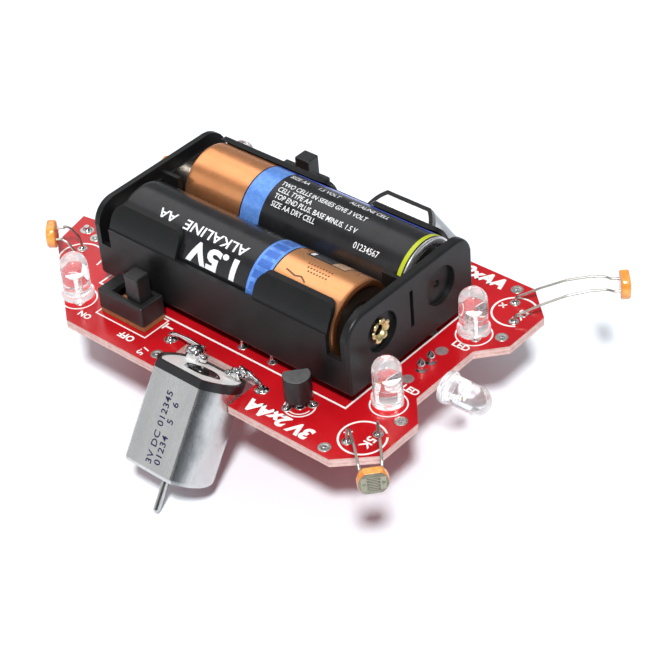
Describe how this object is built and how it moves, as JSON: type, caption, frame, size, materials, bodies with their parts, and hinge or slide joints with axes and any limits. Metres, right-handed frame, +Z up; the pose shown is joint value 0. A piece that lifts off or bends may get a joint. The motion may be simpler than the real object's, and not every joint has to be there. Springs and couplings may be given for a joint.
{
  "type": "line follower robot",
  "caption": "Small driven circuit board robot that stands on two canted bare motor shafts, with light sensors, lamps, slide switches and a two cell holder on top.",
  "frame": {"origin": "centre of the robot's footprint box on the ground it stands on", "axes": "+X forward towards the nose lamp, +Y to the robot's left, +Z up"},
  "size_m": [0.098, 0.079, 0.0379],
  "materials": {
    "red_board": "gloss solder mask with white print",
    "black_plastic": "matte moulded",
    "cell_label": "printed foil sleeve on a steel can",
    "nickel": "nickel plated",
    "brass": "bright",
    "foam": "foam tape",
    "clear_lens": "water clear epoxy",
    "tinned": "tinned",
    "steel": "ground",
    "motor_can": "satin plated",
    "cap_plastic": "moulded",
    "white_plastic": "moulded nylon",
    "bronze": "sintered",
    "ferrite": "sintered",
    "copper": "bright copper",
    "switch_plastic": "moulded",
    "phenolic": "phenolic paper",
    "sensor_face": "lacquered ceramic",
    "epoxy": "moulded",
    "resistor_body": "lacquered"
  },
  "bodies": {
    "chassis": {"cell_left": "cell_label", "cell_right": "cell_label", "circuit_board": "red_board", "contact_plates": "nickel", "contact_springs": "nickel", "foam_pads": "foam", "front_rivet": "brass", "holder_tray": "black_plastic", "lamp_leads": "tinned", "lamp_nose": "clear_lens", "lamps_front": "clear_lens", "lamps_rear": "clear_lens", "motor_left_brushes": "copper", "motor_left_bushes": "bronze", "motor_left_can": "motor_can", "motor_left_cap_plate": "white_plastic", "motor_left_end_cap": "cap_plastic", "motor_left_magnets": "ferrite", "motor_left_terminals": "tinned", "motor_left_wires": "tinned", "motor_right_brushes": "copper", "motor_right_bushes": "bronze", "motor_right_can": "motor_can", "motor_right_cap_plate": "white_plastic", "motor_right_end_cap": "cap_plastic", "motor_right_magnets": "ferrite", "motor_right_terminals": "tinned", "motor_right_wires": "tinned", "rear_skid": "steel", "resistor_leads": "tinned", "resistors": "resistor_body", "sensor_front_left": "sensor_face", "sensor_front_right": "sensor_face", "sensor_leads": "tinned", "sensor_rear_left": "sensor_face", "sensor_rear_right": "sensor_face", "series_link": "nickel", "solder_joints": "tinned", "supply_wires": "tinned", "switch_left_base": "phenolic", "switch_left_case": "switch_plastic", "switch_left_pins": "tinned", "switch_right_base": "phenolic", "switch_right_case": "switch_plastic", "switch_right_pins": "tinned", "transistor_legs": "tinned", "transistors": "epoxy"},
    "rotor_right": {"motor_right_shaft": "steel", "motor_right_armature": "steel", "motor_right_windings": "copper", "motor_right_commutator": "copper"},
    "rotor_left": {"motor_left_shaft": "steel", "motor_left_armature": "steel", "motor_left_windings": "copper", "motor_left_commutator": "copper"},
    "lever_right": {"switch_right_lever": "switch_plastic", "switch_right_wiper": "copper"},
    "lever_left": {"switch_left_lever": "switch_plastic", "switch_left_wiper": "copper"}
  },
  "joints": [
    {"name": "motor_right_spin", "type": "hinge", "parent": "chassis", "child": "rotor_right", "pos_m": [0.00229, -0.02555, 0.02078], "axis": [0, -0.5621, -0.8271], "continuous": true},
    {"name": "motor_left_spin", "type": "hinge", "parent": "chassis", "child": "rotor_left", "pos_m": [0.00229, 0.02555, 0.02078], "axis": [0, 0.5621, -0.8271], "continuous": true},
    {"name": "switch_right_slide", "type": "slide", "parent": "chassis", "child": "lever_right", "axis": [-1, 0, 0], "range_m": [0, 0.003]},
    {"name": "switch_left_slide", "type": "slide", "parent": "chassis", "child": "lever_left", "axis": [-1, 0, 0], "range_m": [0, 0.003]}
  ]
}
